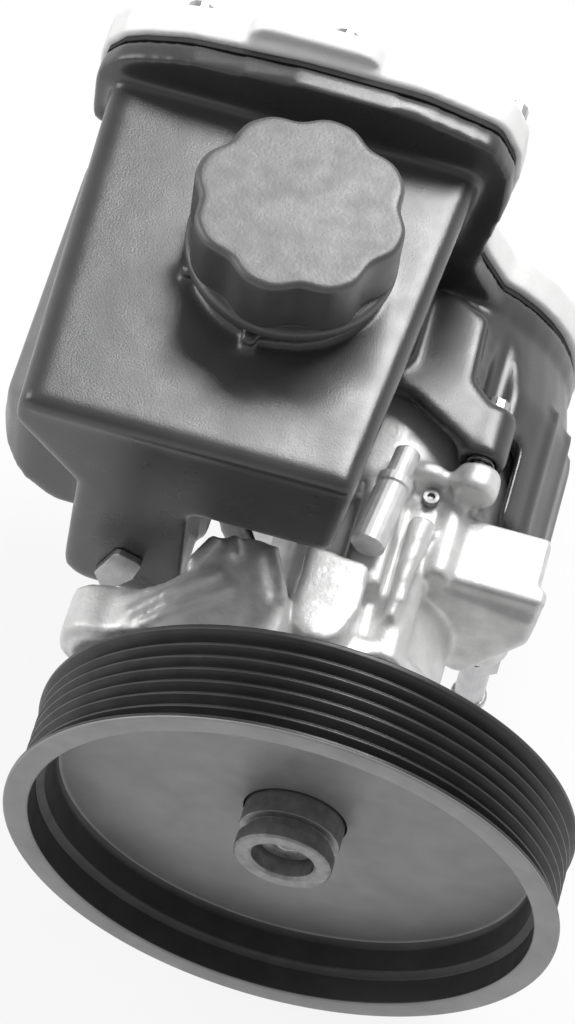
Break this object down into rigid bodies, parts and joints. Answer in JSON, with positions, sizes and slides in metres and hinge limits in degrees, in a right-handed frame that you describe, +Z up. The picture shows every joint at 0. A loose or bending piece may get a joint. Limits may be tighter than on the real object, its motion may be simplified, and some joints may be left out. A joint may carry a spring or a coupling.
{
  "type": "power steering pump",
  "caption": "Belt-driven vane pump with a dished ribbed pulley, an aluminium casting, a black moulded fluid reservoir and a lobed filler cap.",
  "frame": {"origin": "on the shaft's axis, in the plane of the pulley's front lip", "axes": "+Z up through the filler cap, -Y out of the pulley's open dish, +X towards the port block"},
  "size_m": [0.1753, 0.2036, 0.1905],
  "materials": {
    "black_plastic": "satin moulded",
    "cap_plastic": "fine grain moulded",
    "cast_aluminium": "as cast",
    "light_casting": "bright cast",
    "pulley_paint": "satin coated",
    "steel": "machined",
    "rubber": "matt"
  },
  "bodies": {
    "pump_body": {"pump_housing": "cast_aluminium", "cam_ring": "steel", "front_pressure_plate": "steel", "rear_pressure_plate": "steel", "dowel_pin_low": "steel", "dowel_pin_high": "steel", "plate_spring": "steel", "end_cover": "cast_aluminium", "end_cover_oring": "rubber", "end_cover_clip": "steel", "shaft_seal": "rubber", "front_bush": "steel", "rear_bush": "steel", "valve_plug": "steel", "valve_spring": "steel", "pressure_union": "steel", "reservoir_body": "black_plastic", "cover_gasket": "rubber", "rear_cover": "light_casting", "lug_bush": "steel", "reservoir_bolt": "steel", "suction_oring": "rubber", "locating_sleeve": "steel", "leg_clip": "steel", "pocket_screw": "steel", "cover_screw_01": "steel", "cover_screw_02": "steel", "cover_screw_03": "steel", "cover_screw_04": "steel", "cover_screw_05": "steel", "cover_screw_06": "steel", "cover_screw_07": "steel", "cover_screw_08": "steel"},
    "shaft_group": {"drive_shaft": "steel", "pulley": "pulley_paint", "pulley_hub": "steel", "rotor": "steel", "rotor_circlip": "steel"},
    "cap_carrier": {"cap_seal": "rubber"},
    "cap": {"filler_cap": "cap_plastic", "dipstick": "steel"},
    "flow_valve": {"flow_valve_spool": "steel"},
    "vane_01_body": {"vane_01": "steel"},
    "vane_02_body": {"vane_02": "steel"},
    "vane_03_body": {"vane_03": "steel"},
    "vane_04_body": {"vane_04": "steel"},
    "vane_05_body": {"vane_05": "steel"},
    "vane_06_body": {"vane_06": "steel"},
    "vane_07_body": {"vane_07": "steel"},
    "vane_08_body": {"vane_08": "steel"},
    "vane_09_body": {"vane_09": "steel"},
    "vane_10_body": {"vane_10": "steel"}
  },
  "joints": [
    {"name": "pump_spin", "type": "hinge", "parent": "pump_body", "child": "shaft_group", "pos_m": [0, 0, 0], "axis": [0, 1, 0], "continuous": true},
    {"name": "vane_01_slide", "type": "slide", "parent": "shaft_group", "child": "vane_01_body", "axis": [0.9511, 0, 0.309], "range_m": [-0.0012, 0]},
    {"name": "vane_02_slide", "type": "slide", "parent": "shaft_group", "child": "vane_02_body", "axis": [0.5878, 0, 0.809], "range_m": [-0.0012, 0]},
    {"name": "vane_03_slide", "type": "slide", "parent": "shaft_group", "child": "vane_03_body", "axis": [0, 0, 1], "range_m": [-0.0012, 0]},
    {"name": "vane_04_slide", "type": "slide", "parent": "shaft_group", "child": "vane_04_body", "axis": [-0.5878, 0, 0.809], "range_m": [-0.0012, 0]},
    {"name": "vane_05_slide", "type": "slide", "parent": "shaft_group", "child": "vane_05_body", "axis": [-0.9511, 0, 0.309], "range_m": [-0.0012, 0]},
    {"name": "vane_06_slide", "type": "slide", "parent": "shaft_group", "child": "vane_06_body", "axis": [-0.9511, 0, -0.309], "range_m": [-0.0012, 0]},
    {"name": "vane_07_slide", "type": "slide", "parent": "shaft_group", "child": "vane_07_body", "axis": [-0.5878, 0, -0.809], "range_m": [-0.0012, 0]},
    {"name": "vane_08_slide", "type": "slide", "parent": "shaft_group", "child": "vane_08_body", "axis": [0, 0, -1], "range_m": [-0.0012, 0]},
    {"name": "vane_09_slide", "type": "slide", "parent": "shaft_group", "child": "vane_09_body", "axis": [0.5878, 0, -0.809], "range_m": [-0.0012, 0]},
    {"name": "vane_10_slide", "type": "slide", "parent": "shaft_group", "child": "vane_10_body", "axis": [0.9511, 0, -0.309], "range_m": [-0.0012, 0]},
    {"name": "cap_lift", "type": "slide", "parent": "pump_body", "child": "cap_carrier", "axis": [0, 0, 1], "range_m": [0, 0.008]},
    {"name": "cap_turn", "type": "hinge", "parent": "cap_carrier", "child": "cap", "pos_m": [-0.037, 0.1185, 0.1], "axis": [0, 0, 1], "range_deg": [0, 720]},
    {"name": "valve_slide", "type": "slide", "parent": "pump_body", "child": "flow_valve", "axis": [0, 1, 0], "range_m": [0, 0.007], "stiffness_N_per_m": 400, "springref_m": -0.004, "deforming": ["valve_spring"]}
  ],
  "couplings": [
    {"joint": "cap_turn", "follows": "cap_lift", "rad_per_m": 1570.8}
  ]
}
